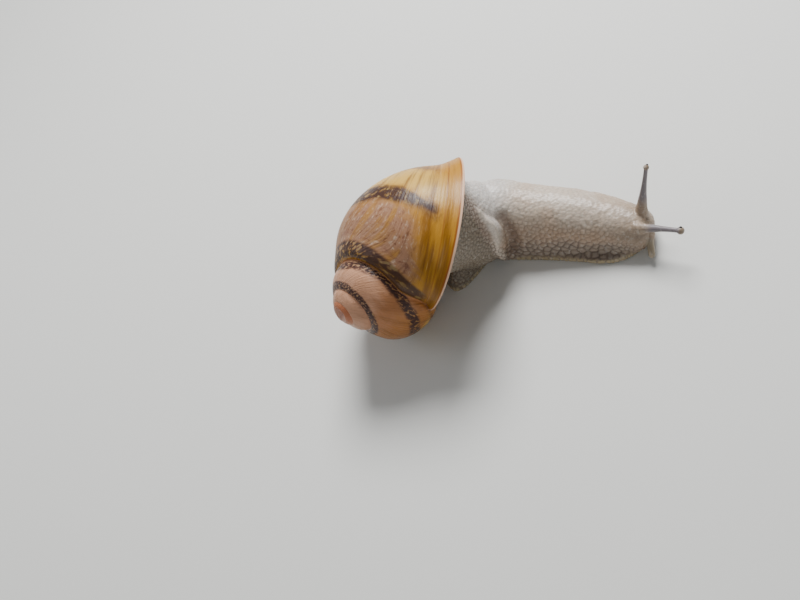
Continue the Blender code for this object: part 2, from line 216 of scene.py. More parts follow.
SKIN_SMOOTHINGS = 7
CREASE_SMOOTHINGS = 140
ROOT_SMOOTHINGS = 16
ROOT_SHARE = 0.12  # how far along a tentacle the skin of its root is smoothed round
BACK_BEADS = (0.34, 0.5)  # smallest and largest spacing of the long tubercles on the back
TENTACLE_BEADS = 0.36
RIM_BEADS = 0.55
GROOVE_SHARE = 0.3  # of a tubercle's size over which it rises from its groove
BEAD_MIDDLE = 0.6  # the height of a tubercle that leaves the surface where it was

# ---- the stage: the camera in mm, and for each light its place, aim, size and power ----

FLOOR_SIZE = 3.0
CAMERA_PLACE = Vector((85.892, -112.837, 168.566))
CAMERA_RIGHT = Vector((0.8745, 0.2425, -0.42))
CAMERA_UP = Vector((0, 0.866, 0.5))
LENS, SENSOR = 50, 36
LIGHTS = {
    "key_light": ((-20, 230, 290), (0, 0, 8), 190, 2.5),
    "fill_light": ((150, -260, 220), (0, 0, 8), 260, 0.16),
    "side_light": ((-260, -60, 160), (0, -5, 10), 180, 0.16),
}
ROOM_COLOUR = (0.82, 0.86, 0.9, 1)
ROOM_LIGHT = 0.2


def srgb(red, green, blue):
    """A colour given as eye sees it, 0 to 255, turned to the linear values that shaders take."""
    def linear(level):
        level /= 255
        return level / 12.92 if level <= 0.04045 else ((level + 0.055) / 1.055) ** 2.4

    return (linear(red), linear(green), linear(blue), 1.0)


def colour_property(name, description, shade):
    return FloatVectorProperty(
        name=name, description=description, default=shade, subtype="COLOR", size=4, min=0, max=1)


class SnailShellSettings(PropertyGroup):
    rings: IntProperty(
        name="Rings a turn", description="Rings that the tube has in one turn", default=80, min=20)
    flare: FloatProperty(
        name="Lip flare", description="How far the lip's edge flares", default=0.35 * MM, unit="LENGTH")
    amber: colour_property("Amber", "The last whorl's ground colour", srgb(184, 130, 36))
    dark_amber: colour_property("Dark amber", "Streaks on the last whorl", srgb(120, 74, 14))
    cream: colour_property("Cream", "Pale zone under the middle band", srgb(218, 176, 84))
    mauve: colour_property("Mauve", "Worn zone between the bands", srgb(158, 118, 94))
    tan: colour_property("Tan", "The spire's ground colour", srgb(204, 152, 120))
    band: colour_property("Band", "The dark spiral bands", srgb(50, 29, 32))
    fleck: colour_property("Fleck", "Yellow-green flecks in the bands", srgb(168, 150, 100))
    lip: colour_property("Lip", "The lip's edge", srgb(230, 188, 160))


class SnailSkinSettings(PropertyGroup):
    grain: FloatProperty(
        name="Grain", description="Edge of the grid that the skin is remeshed on", default=0.24 * MM,
        unit="LENGTH")
    relief: FloatProperty(
        name="Relief", description="Height of the flank's tubercles", default=0.2 * MM, unit="LENGTH")
    back: colour_property("Back", "The neck's back", srgb(208, 192, 174))
    flank: colour_property("Flank", "The neck's side", srgb(184, 160, 138))
    groove: colour_property("Groove", "Between the tubercles", srgb(92, 76, 64))
    margin: colour_property("Margin", "The foot's rim", srgb(188, 170, 128))
    tentacle: colour_property("Tentacle", "The tentacles' shafts", srgb(120, 114, 120))
    knob: colour_property("Knob", "The ends of the upper tentacles", srgb(142, 122, 98))


def snail_settings(kind):
    return getattr(bpy.context.scene, "snail_" + kind)


# ---- shaping ----


def rows_through(stations, steps):
    """Rows on a smooth curve through the stations, with this many from each station to the next."""
    rows = [Vector(row) for row in stations]
    padded = [2 * rows[0] - rows[1]] + rows + [2 * rows[-1] - rows[-2]]
    found = []
    for before, start, end, after in zip(padded, padded[1:], padded[2:], padded[3:]):
        for step in range(steps):
            t = step / steps
            straight = 2 * start + (end - before) * t
            bend = (2 * before - 5 * start + 4 * end - after) * t**2
            twist = (3 * start - before - 3 * end + after) * t**3
            found.append(0.5 * (straight + bend + twist))
    return found + [rows[-1]]


def mesh_object(name, points, faces):
    """A new object of these points, given in mm."""
    mesh = bpy.data.meshes.new(name)
    mesh.from_pydata([tuple(c * MM for c in p) for p in points], [], faces)
    mesh.validate()
    obj = bpy.data.objects.new(name, mesh)
    bpy.context.scene.collection.objects.link(obj)
    return obj


def loft(name, rings):
    """A closed body through rings of like point counts, facing outwards."""
    count = len(rings[0])
    faces = []
    for row in range(len(rings) - 1):
        start = row * count
        for i in range(count):
            j = (i + 1) % count
            faces.append((start + i, start + count + i, start + count + j, start + j))
    faces.append(tuple(range(count)))
    last = (len(rings) - 1) * count
    faces.append(tuple(last + i for i in reversed(range(count))))
    obj = mesh_object(name, [p for ring in rings for p in ring], faces)
    bm = bmesh.new()
    bm.from_mesh(obj.data)
    bmesh.ops.recalc_face_normals(bm, faces=bm.faces)
    if bm.calc_volume(signed=True) < 0:
        bmesh.ops.reverse_faces(bm, faces=bm.faces)
    bm.to_mesh(obj.data)
    bm.free()
    return obj


def select_only(*objects):
    """Selects these objects alone, with the first of them active."""
    bpy.ops.object.select_all(action="DESELECT")
    for obj in objects:
        obj.select_set(True)
    bpy.context.view_layer.objects.active = objects[0]


def apply_modifier(obj, kind, **settings):
    """Adds one modifier to the object and applies it."""
    select_only(obj)
    modifier = obj.modifiers.new(kind.title(), kind)
    for key, value in settings.items():
        setattr(modifier, key, value)
    bpy.ops.object.modifier_apply(modifier=modifier.name)
    return obj


def discard(*objects):
    """Removes these objects and their meshes."""
    for obj in objects:
        mesh = obj.data
        bpy.data.objects.remove(obj)
        bpy.data.meshes.remove(mesh)


def points_of(mesh):
    found = np.empty(len(mesh.vertices) * 3)
    mesh.vertices.foreach_get("co", found)
    return found.reshape(-1, 3)


def normals_of(mesh):
    found = np.empty(len(mesh.vertices) * 3)
    mesh.vertices.foreach_get("normal", found)
    return found.reshape(-1, 3)


def move_points(mesh, points):
    mesh.vertices.foreach_set("co", points.ravel())
    mesh.update()


def store(mesh, name, values):
    """A number for each vertex, which a material reads by name."""
    attribute = mesh.attributes.get(name) or mesh.attributes.new(name, "FLOAT", "POINT")
    attribute.data.foreach_set("value", np.asarray(values, float))


def ramp(values, low, high):
    """Smoothly from 0 at low to 1 at high, which may be the lower of the two."""
    t = np.clip((np.asarray(values, float) - low) / (high - low), 0, 1)
    return t * t * (3 - 2 * t)


# ---- shell ----


def nearness(angle, degrees, spread):
    """1 where the angle is this many degrees, falling away on either side."""
    off = (np.degrees(angle) - degrees + 180) % 360 - 180
    return np.exp(-((off / spread) ** 2))


def ring_point(turn, angle, swell):
    """A point in mm of the shell's ring at this turn, swollen in its own plane; all may be arrays."""
    radius = SHELL_RADIUS * np.exp(WIDENING * turn + WIDENING_CHANGE * turn**2)
    tip = np.minimum(1.0, (turn - FIRST_TURN) / TIP_TURNS)
    roundness = np.sqrt(np.maximum(0.0, 1 - (1 - tip) ** 2))
    shoulder = (SHOULDER - SHOULDER_LOSS * ramp(turn, *SHOULDER_FADES)) * ramp(turn, *SHOULDER_STARTS)
    bulge = shoulder * radius * roundness * nearness(angle, SHOULDER_ANGLE, SHOULDER_SPREAD)
    turned_out = ramp(turn, MOUTH_TURN - LIP_TURNS, MOUTH_TURN) ** 2
    swell = swell + LIP_FLARE * turned_out * nearness(angle, LIP_ANGLE, LIP_SPREAD)
    width = RING_WIDTH * radius * roundness + swell
    height = RING_HEIGHT * radius * roundness + swell
    outward = radius * (1 - RING_WIDTH) + width * np.cos(angle)
    rise = height * np.sin(angle)
    drop = SPIRE_DROP * radius * np.exp(SPIRE_STRETCH * turn)
    forward = rise * math.sin(RING_LEAN)
    turned = 2 * math.pi * turn
    local = np.stack((
        outward * np.sin(turned) + forward * np.cos(turned),
        outward * np.cos(turned) - forward * np.sin(turned),
        rise * math.cos(RING_LEAN) + RING_SLANT * width * np.cos(angle) - drop + bulge,
    ), axis=-1)
    return local @ np.array(SHELL_TURN).T + np.array(SHELL_APEX)


def shell_tube(name, turns, swells, count):
    """A closed tube through rings at these turns, with a map of turn and angle from its inner side."""
    turns, swells = np.asarray(turns), np.asarray(swells)
    steps = np.arange(count) / count
    angles = (steps - 0.5) * 2 * math.pi
    rings = ring_point(turns[:, None], angles[None, :], swells[:, None])
    obj = loft(name, rings.tolist())
    mesh = obj.data
    spiral = mesh.uv_layers.new(name="spiral")
    for face in mesh.polygons:
        columns = [index % count for index in face.vertices]
        wraps = len(face.vertices) == 4 and max(columns) - min(columns) > count / 2
        for loop, column in zip(face.loop_indices, columns):
            row = mesh.loops[loop].vertex_index // count
            around = steps[column] - 0.5 + (1 if wraps and column == 0 else 0)
            spiral.data[loop].uv = (turns[row], around)
    return obj


def lip_profile(turns, flare, edge):
    """How much the tube swells at these turns: it flares just before the lip."""
    return flare * ramp(turns, MOUTH_TURN - FLARE_TURNS, MOUTH_TURN) ** 2 + edge


def build_shell(settings):
    """The shell as one closed body, with its whorls joined where they cross, and hollow behind the lip."""
    flare = settings.flare / MM
    early = np.arange(SHELL_START, MOUTH_TURN - LATE_TURNS, 1 / settings.rings)
    late = MOUTH_TURN - LATE_TURNS * (1 - np.linspace(0, 1, LATE_RINGS)) ** LATE_POWER
    past, drawn_in = np.transpose(LIP_OUTSIDE)
    turns = np.concatenate((early, late, MOUTH_TURN + past))
    edge = np.zeros(len(turns))
    edge[-len(past):] = drawn_in
    outer = shell_tube("snail_shell", turns, lip_profile(turns, flare, edge), SHELL_POINTS)
    past, opened = np.transpose(LIP_INSIDE)
    depths = np.linspace(-OPEN_TURNS, -LATE_TURNS, HOLLOW_RINGS)
    turns = MOUTH_TURN + np.concatenate((depths, HOLLOW_TURNS, past))
    edge = np.full(len(turns), -WALL)
    edge[-len(past):] += opened
    hollow = shell_tube("hollow", turns, lip_profile(turns, flare, edge), SHELL_POINTS)
    turns = np.arange(SHELL_START, SPIRE_END, 1 / settings.rings)
    spire = shell_tube("spire", turns, np.full(len(turns), CALLUS), SHELL_POINTS)
    apply_modifier(hollow, "BOOLEAN", operation="DIFFERENCE", object=spire, solver="EXACT", use_self=True)
    for obj, index in ((outer, 0), (hollow, 1)):
        for _ in range(2):
            obj.data.materials.append(None)
        obj.data.polygons.foreach_set("material_index", [index] * len(obj.data.polygons))
    apply_modifier(outer, "BOOLEAN", operation="DIFFERENCE", object=hollow, solver="EXACT", use_self=True)
    discard(hollow, spire)
    return outer


def tidy_islands(obj):
    """Merges doubles, keeps the largest island, and lifts what is under the floor onto it."""
    bm = bmesh.new()
    bm.from_mesh(obj.data)
    bmesh.ops.remove_doubles(bm, verts=bm.verts, dist=0.0005 * MM)
    unseen = set(bm.verts)
    islands = []
    while unseen:
        island = [unseen.pop()]
        for vert in island:
            for edge in vert.link_edges:
                other = edge.other_vert(vert)
                if other in unseen:
                    unseen.remove(other)
                    island.append(other)
        islands.append(island)
    islands.sort(key=len, reverse=True)
    for island in islands[1:]:
        bmesh.ops.delete(bm, geom=island, context="VERTS")
    for vert in bm.verts:
        vert.co.z = max(vert.co.z, 0.0)
    bm.to_mesh(obj.data)
    bm.free()


def mark_sutures(obj):
    """Stores how far each point lies from the nearest suture, in mm, and again below 0 on the older side."""
    mesh = obj.data
    spiral = mesh.uv_layers["spiral"].data
    turn_low = np.full(len(mesh.vertices), 9.0)
    turn_high = np.full(len(mesh.vertices), -9.0)
    for face in mesh.polygons:
        if face.material_index == 1:
            continue
        for loop in face.loop_indices:
            vertex = mesh.loops[loop].vertex_index
            turn = spiral[loop].uv.x
            turn_low[vertex] = min(turn_low[vertex], turn)
            turn_high[vertex] = max(turn_high[vertex], turn)
    on_suture = np.nonzero(turn_high - turn_low > 0.5)[0]
    tree = kdtree.KDTree(len(on_suture))
    for index in on_suture:
        tree.insert(mesh.vertices[index].co, int(index))
    tree.balance()
    distance = np.zeros(len(mesh.vertices))
    side = np.ones(len(mesh.vertices))
    for vertex in mesh.vertices:
        _, nearest, away = tree.find(vertex.co)
        middle = (turn_low[nearest] + turn_high[nearest]) / 2
        younger = turn_high[vertex.index] > middle
        distance[vertex.index] = away / MM
        side[vertex.index] = 1 if younger else -1
    store(mesh, "apart", distance)
    store(mesh, "suture", distance * side)


# ---- shader sheets ----


class Wire:
    """A number in a shader. Arithmetic on it adds Math nodes."""

    def __init__(self, sheet, socket):
        self.sheet = sheet
        self.socket = socket

    def math(self, operation, *others):
        return self.sheet.node("ShaderNodeMath", {"operation": operation}, dict(enumerate((self, *others))))

    def __add__(self, other):
        return self.math("ADD", other)

    def __sub__(self, other):
        return self.math("SUBTRACT", other)

    def __mul__(self, other):
        return self.math("MULTIPLY", other)

    def __truediv__(self, other):
        return self.math("DIVIDE", other)

    def __rsub__(self, other):
        return self * -1 + other

    __radd__ = __add__
    __rmul__ = __mul__


class Sheet:
    """One material's nodes, ending in a Principled shader."""

    def __init__(self, name, **constants):
        self.material = bpy.data.materials.new(name)
        self.material.use_nodes = True
        self.tree = self.material.node_tree
        self.shader = self.tree.nodes["Principled BSDF"]
        for key, value in constants.items():
            self.shader.inputs[key.replace("_", " ")].default_value = value

    def node(self, kind, settings=None, inputs=None, output=0):
        """A new node: its settings are set first, then the values or links of its sockets."""
        made = self.tree.nodes.new(kind)
        for key, value in (settings or {}).items():
            setattr(made, key, value)
        for key, value in (inputs or {}).items():
            if isinstance(value, Wire):
                self.tree.links.new(value.socket, made.inputs[key])
            else:
                made.inputs[key].default_value = value
        return Wire(self, made.outputs[output])

    def attribute(self, name, output="Fac"):
        return self.node("ShaderNodeAttribute", {"attribute_name": name}, output=output)

    def place(self):
        return self.node("ShaderNodeTexCoord", output="Object")

    def parts(self, vector):
        """A vector's x, y and z."""
        split = self.node("ShaderNodeSeparateXYZ", inputs={0: vector})
        return [Wire(self, split.socket.node.outputs[i]) for i in range(3)]

    def join(self, x, y, z=0.0):
        return self.node("ShaderNodeCombineXYZ", inputs={0: x, 1: y, 2: z})

    def noise(self, vector, scale, detail=2.0, rough=0.5, distortion=0.0):
        inputs = {"Vector": vector, "Scale": scale, "Detail": detail, "Roughness": rough}
        return self.node("ShaderNodeTexNoise", inputs={**inputs, "Distortion": distortion})

    def ease(self, value, low, high):
        """Smoothly from 0 at low to 1 at high, which may be the lower of the two."""
        inputs = {"Value": value, "From Min": low, "From Max": high}
        return self.node("ShaderNodeMapRange", {"interpolation_type": "SMOOTHSTEP"}, inputs)

    def within(self, value, low, high, soft):
        """1 between low and high, with soft edges."""
        return self.ease(value, low - soft, low + soft) * self.ease(value, high + soft, high - soft)

    def mix(self, amount, first, second):
        return self.node("ShaderNodeMix", {"data_type": "RGBA"}, {0: amount, 6: first, 7: second}, output=2)

    def bump(self, height, distance, strength):
        inputs = {"Height": height, "Distance": distance, "Strength": strength}
        return self.node("ShaderNodeBump", inputs=inputs)

    def feed(self, **wires):
        """Links these wires to the shader's sockets of the same names."""
        for key, wire in wires.items():
            self.tree.links.new(wire.socket, self.shader.inputs[key.replace("_", " ")])
        return self.material


def shell_material(settings):
    """Shell: amber ground, a worn and a pale zone, growth lines, and broken dark bands along the spiral."""
    sheet = Sheet("SnailShell", Specular_IOR_Level=0.22, Coat_Weight=0.08, Coat_Roughness=0.2)
    turn, around, _ = sheet.parts(sheet.attribute("spiral", "Vector"))
    suture = sheet.attribute("suture")
    apart = sheet.attribute("apart")
    degrees = around * 360
    # Lines of growth run parallel to the lip, and lean back further from it.
    lean = sheet.ease(turn, -0.02, -0.3) * 0.135
    growth = turn + lean * (degrees / 57.3 - 0.6)
    lines = sheet.noise(sheet.join(growth * 190, around * 5), 1.0, 3.0, 0.65)
    broad = sheet.noise(sheet.join(growth * 34, around * 3), 1.0, 3.0, 0.6)
    patches = sheet.noise(sheet.join(growth * 16, around * 22), 1.0, 3.0, 0.6)
    mottle = sheet.noise(sheet.join(growth * 92, around * 52), 1.0, 2.5, 0.6, 0.4)
    wander = patches - 0.5

    spire = sheet.ease(turn + wander * 0.2, -0.72, -1.0)
    ground = sheet.mix(spire, tuple(settings.amber), tuple(settings.tan))
    # A browner zone on the penultimate whorl's last part, where it lies in shade: partly its own colour, partly
    # painted shade.
    shaded_brown = sheet.within(turn + wander * 0.1, -1.02, -0.7, 0.05)
    ground = sheet.mix(shaded_brown * 0.75, ground, srgb(168, 106, 54))
    worn = sheet.within(degrees + wander * 46, 26, 88, 12)
    worn = worn * sheet.within(turn + wander * 0.05, -0.8, -0.085, 0.025)
    ground = sheet.mix(worn * 0.95, ground, tuple(settings.mauve))
    pale = sheet.within(degrees + wander * 22, -32, 3, 9)
    pale = pale * sheet.within(turn + wander * 0.04, -0.75, -0.05, 0.03)
    ground = sheet.mix(pale * 0.85, ground, tuple(settings.cream))
    streak = sheet.ease(broad, 0.46, 0.64)
    streaked = streak * 0.75 * (1 - spire * 0.75) * (1 - worn * 0.6)
    ground = sheet.mix(streaked, ground, tuple(settings.dark_amber))
    specks = sheet.noise(sheet.join(growth * 150, around * 46), 1.0, 3.0, 0.65, 0.3)
    ground = sheet.mix(sheet.ease(specks, 0.55, 0.68) * worn * 0.6, ground, srgb(206, 180, 156))
    ground = sheet.mix(sheet.ease(specks, 0.46, 0.34) * worn * 0.6, ground, srgb(104, 62, 40))
    golden = sheet.ease(broad, 0.5, 0.62) * worn * (0.35 + 0.4 * sheet.ease(turn, -0.3, -0.1))
    ground = sheet.mix(golden, ground, srgb(178, 128, 56))
    ground = sheet.mix(sheet.ease(patches, 0.46, 0.36) * worn * 0.4, ground, srgb(124, 84, 72))
    dash = sheet.ease(lines, 0.58, 0.74)
    ground = sheet.mix(dash * 0.35 * (1 - spire * 0.6), ground, srgb(222, 186, 136))
    shade = sheet.ease(lines, 0.47, 0.3)
    ground = sheet.mix(shade * 0.4 * (1 - spire * 0.4), ground, srgb(84, 46, 22))
    ground = sheet.mix(sheet.ease(turn, -2.7, -3.0) * 0.8, ground, srgb(186, 104, 62))
    ground = sheet.mix(sheet.ease(turn, -3.35, -3.6) * 0.85, ground, srgb(226, 184, 166))

    # Bands: one beyond the suture, one about the middle of the whorl, and a faint one below.
    far = suture - wander * 1.2
    narrow = sheet.ease(turn, -0.44, -0.64)
    upper = sheet.within(far + wander * 0.5, 0.7 - narrow * 0.6, 3.6 - narrow * 1.95, 0.35)
    upper = upper * sheet.ease(turn, -0.66, -0.6)
    upper = upper * sheet.ease(turn + mottle * 0.03, -0.02, -0.05)
    older = sheet.within(apart - wander * 0.6, 0.1, 1.65, 0.2) * sheet.ease(suture, -0.1, 0.1)
    older = older * sheet.within(turn, -1.65, -0.58, 0.04)
    line = 15 - sheet.ease(turn, -0.35, -0.75) * 13 + sheet.ease(turn, -1.0, -1.25) * 24
    taper = sheet.ease(turn, -0.2, -0.06)
    middle = sheet.within(degrees + wander * 16 - line, -11.5 + taper * 2, 11.5 - taper * 11, 4)
    ragged = turn + wander * 0.02 + mottle * 0.03
    middle = middle * sheet.ease(ragged, -0.022, -0.046) * sheet.ease(turn, -1.7, -1.6)
    lower = sheet.within(degrees + wander * 14, -44, -34, 4) * sheet.ease(turn, -0.05, -0.08) * 0.5
    bands = (upper * 0.95).math("MAXIMUM", middle).math("MAXIMUM", lower).math("MAXIMUM", older)
    broken = sheet.ease(mottle, 0.38, 0.5)
    solid = sheet.ease(turn, -0.3, -0.12).math("MAXIMUM", spire * 0.45)
    cover = bands * (broken * (1 - solid * 0.8) + solid * 0.8)
    colour = sheet.mix(cover * 0.94, ground, tuple(settings.band))
    flecked = bands * sheet.ease(mottle, 0.45, 0.32) * (1 - solid * 0.3)
    colour = sheet.mix(flecked * 0.55, colour, tuple(settings.fleck))
    seam = sheet.ease(apart, 0.34, 0.1) * sheet.ease(turn, -2.8, -2.5)
    colour = sheet.mix(seam * 0.5, colour, srgb(206, 156, 126))
    rest_line = sheet.within(turn, -0.0405, -0.0385, 0.0012)
    colour = sheet.mix(rest_line * 0.5, colour, srgb(130, 60, 20))
    red_line = sheet.within(turn, -0.0185, -0.0165, 0.001)
    colour = sheet.mix(red_line * 0.65, colour, srgb(140, 62, 30))
    edge = sheet.ease(turn, -0.0165, -0.0145)
    colour = sheet.mix(edge, colour, tuple(settings.lip))

    ridges = sheet.noise(sheet.join(growth * 240, around * 4), 1.0, 2.0, 0.6)
    wrinkles = sheet.noise(sheet.join(growth * 120, around * 26), 1.0, 2.0, 0.5, 0.6)
    height = ridges * 0.6 + wrinkles * 0.5 + broad * 0.5
    normal = sheet.bump(height, 0.25 * MM, 0.7)
    rough = mottle * 0.16 + 0.3 + worn * 0.12
    return sheet.feed(Base_Color=colour, Roughness=rough, Normal=normal)


def lining_material(settings):
    """The mouth's lining: smooth, pale and a little clouded."""
    sheet = Sheet("SnailShellLining", Roughness=0.3)
    cloud = sheet.noise(sheet.place(), 400.0, 3.0)
    colour = sheet.mix(cloud, tuple(settings.lip), srgb(204, 156, 118))
    return sheet.feed(Base_Color=colour, Normal=sheet.bump(cloud, 0.05 * MM, 0.4))


class SNAIL_OT_shell(Operator):
    """Builds the shell: one spiral tube, joined where its whorls cross, and hollow behind the lip"""

    bl_idname = "snail.shell"
    bl_label = "Shell"

    def execute(self, context):
        settings = snail_settings("shell")
        shell = build_shell(settings)
        tidy_islands(shell)
        mark_sutures(shell)
        shell.data.materials[0] = shell_material(settings)
        shell.data.materials[1] = lining_material(settings)
        select_only(shell)
        bpy.ops.object.shade_smooth_by_angle(angle=SHARP_EDGE)
        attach(shell, "root")
        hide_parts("shell")
        return {"FINISHED"}


# ---- skin ----


def trunk_ring(x, y, sole, back, height, lift):
    """A section across the foot and back: flat below, a thin rim at either side, a domed back between."""
    lift = max(0.0, lift)
    rim = min(RIM_HEIGHT, 0.4 * (height - lift))
    side = [(a * sole, b * rim) for a, b in RIM_SIDE]
    flat = [(-side[-1][0] * (1 - 2 * i / SOLE_STEPS), 0.0) for i in range(SOLE_STEPS + 1)]
    dome = []
    for i in range(BACK_POINTS):
        angle = math.pi * (i + 0.5) / BACK_POINTS
        rise = (height - lift - rim) * math.sin(angle) ** BACK_SQUARENESS
        dome.append((back * math.cos(angle), rim + rise))
    points = flat + side + dome + [(-a, b) for a, b in reversed(side)]
    return [(x, y + a, lift + b) for a, b in points]


def mouth_turn():
    """The mouth's frame: x across it, outwards from the axis; y along it, away from the apex; z inwards."""
    outward = Vector((0, 1, 0))
    down = Vector((-math.sin(RING_LEAN), 0, -math.cos(RING_LEAN)))
    local = Matrix((outward, down, outward.cross(down))).transposed()
    return (SHELL_TURN @ local).to_quaternion()


def stalk_body():
    """The stalk of the body, whose sections lean from level to the plane of the shell's mouth."""
    rings = []
    angles = [2 * math.pi * i / STALK_POINTS for i in range(STALK_POINTS)]
    for *centre, depth, width, lean in rows_through(STALK, STALK_ROWS):
        turn = Quaternion().slerp(mouth_turn(), min(1.0, max(0.0, lean)))
        side, up = turn @ Vector((1, 0, 0)), turn @ Vector((0, 1, 0))
        rings.append([Vector(centre) + side * depth * math.cos(a) + up * width * math.sin(a) for a in angles])
    return loft("stalk", rings)


def pipe_rings(path, radii, count):
    """Rings of these radii round a path, turning as little as they can."""
    rings = []
    side = None
    for i, (place, radius) in enumerate(zip(path, radii)):
        heading = (path[min(i + 1, len(path) - 1)] - path[max(i - 1, 0)]).normalized()
        side = heading.orthogonal() if side is None else side - heading * side.dot(heading)
        side.normalize()
        other = heading.cross(side)
        angles = [2 * math.pi * j / count for j in range(count)]
        rings.append([place + side * radius * math.cos(a) + other * radius * math.sin(a) for a in angles])
    return rings


def collar_body():
    """What fills the shell's mouth, clear of the wall and of the earlier whorls."""
    start = MOUTH_TURN - OPEN_TURNS + COLLAR_PLAY
    turns = np.linspace(start, MOUTH_TURN - COLLAR_SINK, COLLAR_RINGS)
    collar = shell_tube("collar", turns, np.full(COLLAR_RINGS, -WALL - COLLAR_CLEARANCE), COLLAR_POINTS)
    turns = np.arange(SHELL_START, MOUTH_TURN - OPEN_TURNS, 1 / CUTTER_RINGS)
    cutter = shell_tube("collar_cutter", turns, np.full(len(turns), COLLAR_CLEARANCE), CUTTER_POINTS)
    stalk = stalk_body()
    for obj in (collar, stalk):
        apply_modifier(obj, "BOOLEAN", operation="DIFFERENCE", object=cutter, solver="EXACT", use_self=True)
        tidy_islands(obj)
    discard(cutter)
    return collar, stalk


def tentacle_point(name, along):
    """A point on a tentacle's middle line, which droops between its ends."""
    root, reach, droop = TENTACLES[name][:3]
    place = Vector(root) + Vector(reach) * along
    return place + Vector((0, 0, droop * along * (1 - along)))


def tentacle_body(name):
    """A tentacle from inside the head to its knob."""
    _, reach, _, thick, thin, knob = TENTACLES[name]
    length = Vector(reach).length
    knob_start = 1 - 2 * knob / length
    places = [i / TENTACLE_ROWS * knob_start for i in range(TENTACLE_ROWS)]
    places += [1 - knob / length * (1 + math.cos(math.pi * i / KNOB_ROWS)) for i in range(KNOB_ROWS)]
    places += [1 - KNOB_FLAT]
    radii = []
    for along in places:
        shaft = thin + (thick - thin) * max(0.0, 1 - along / knob_start) ** TENTACLE_FLARE
        past = (along - knob_start) * length
        bulb = math.sqrt(max(0.0, knob**2 - (knob - past) ** 2)) if past > 0 else 0
        radii.append(max(bulb, shaft if past < knob else 0))
    return loft(name, pipe_rings([tentacle_point(name, a) for a in places], radii, TENTACLE_POINTS))


def join_all(name, pieces):
    """Joins the pieces into the first of them, under this name."""
    select_only(*pieces)
    bpy.ops.object.join()
    pieces[0].name = name
    return pieces[0]


def scatter(points, spacing, seed):
    """Picks points so that no two lie nearer than the spacing at the first."""
    tree = kdtree.KDTree(len(points))
    for index, point in enumerate(points):
        tree.insert(point, index)
    tree.balance()
    free = np.ones(len(points), bool)
    kept = []
    for index in np.random.default_rng(seed).permutation(len(points)):
        if free[index]:
            kept.append(index)
            for _, other, _ in tree.find_range(points[index], spacing[index]):
                free[other] = False
    return np.array(kept)


def beads(points, stretch, spacing, seed):
    """For each point, how far it lies from its tubercle's groove: 0 in the groove, 1 well inside."""
    warped = points * np.array(stretch)
    chosen = scatter(warped, spacing, seed)
    tree = kdtree.KDTree(len(chosen))
    for index in chosen:
        tree.insert(warped[index], int(index))
    tree.balance()
    height = np.empty(len(points))
    for index, point in enumerate(warped):
        (near, first, a), (other, _, b) = tree.find_n(point, 2)
        apart = max((near - other).length, 1e-6)
        height[index] = (b * b - a * a) / (2 * apart) / spacing[first]
    return ramp(height, 0.0, GROOVE_SHARE)


def fractal(points, scale, seed):
    """Slow waves over the points, of this many to the mm."""
    offset = Vector((seed * 7.3, seed * 3.1, seed * 5.7))
    return np.array([noise.fractal(Vector(p) * scale + offset, 1.0, 2.0, 3) for p in points])


def back_height(x):
    """The height of the neck's back over this x, in mm."""
    rows = sorted((row[0], row[4]) for row in FRONT)
    return np.interp(x, [row[0] for row in rows], [row[1] for row in rows])


def tentacle_share(points):
    """How far along a tentacle each point lies, or below 0 off them all, and whether it is an upper one."""
    share = np.full(len(points), -1.0)
    upper = np.zeros(len(points))
    for name, (root, reach, droop, thick, _, knob) in TENTACLES.items():
        root, reach = np.array(root), np.array(reach)
        length = np.linalg.norm(reach)
        along = (points - root) @ reach / length**2
        middle = root + np.clip(along, 0, 1)[:, None] * reach
        middle[:, 2] += droop * np.clip(along, 0, 1) * (1 - np.clip(along, 0, 1))
        near = np.linalg.norm(points - middle, axis=1) < np.where(along < 0.3, thick * 1.1, knob * 1.6)
        found = near & (along > 0.02) & (along < 1.1)
        share[found] = along[found]
        upper[found] = 1.0 if name.startswith("upper") else 0.0
    return share, upper


def build_skin(settings):
    """The flesh as one skin: the parts merged on a fine grid and smoothed, then the tentacles joined on."""
    trunk = loft("snail_skin", [trunk_ring(*row) for row in rows_through(FRONT, ROWS_A_STATION)])
    rear = loft("rear", [trunk_ring(*row) for row in rows_through(REAR, ROWS_A_STATION)])
    rows = rows_through(FOLD, ROWS_A_STATION)
    fold = loft("fold", pipe_rings([row.xyz for row in rows], [row.w for row in rows], FOLD_POINTS))
    collar, stalk = collar_body()
    skin = join_all("snail_skin", [trunk, rear, fold, collar, stalk])
    apply_modifier(skin, "REMESH", mode="VOXEL", voxel_size=settings.grain, use_smooth_shade=True)
    apply_modifier(skin, "SMOOTH", factor=0.5, iterations=SKIN_SMOOTHINGS)
    fill_crease(skin)
    tentacles = join_all("tentacles", [tentacle_body(name) for name in TENTACLES])
    apply_modifier(skin, "BOOLEAN", operation="UNION", object=tentacles, solver="EXACT")
    discard(tentacles)
    places = points_of(skin.data) / MM
    roots = [np.array(row[0]) + np.array(row[1]) * ROOT_SHARE for row in TENTACLES.values()]
    away = np.min([np.linalg.norm(places - root, axis=1) for root in roots], axis=0)
    smooth_where(skin, ramp(away, 2.4, 1.4), ROOT_SMOOTHINGS)
    tidy_islands(skin)
    return skin


def fill_crease(skin):
    """Smooths the skin where the stalk overhangs the side of the foot, so that one flows into the other."""
    x, y, z = points_of(skin.data).T / MM
    near = ramp(x, -15, -11) * ramp(x, 0, -3) * ramp(y, -5.5, -8) * ramp(z, 2, 3.5) * ramp(z, 12, 9)
    step = ramp(np.abs(x + 0.5), 4, 1) * ramp(y, 2.5, 5) * ramp(z, 1.2, 2.5)
    smooth_where(skin, np.maximum(near, step), CREASE_SMOOTHINGS)


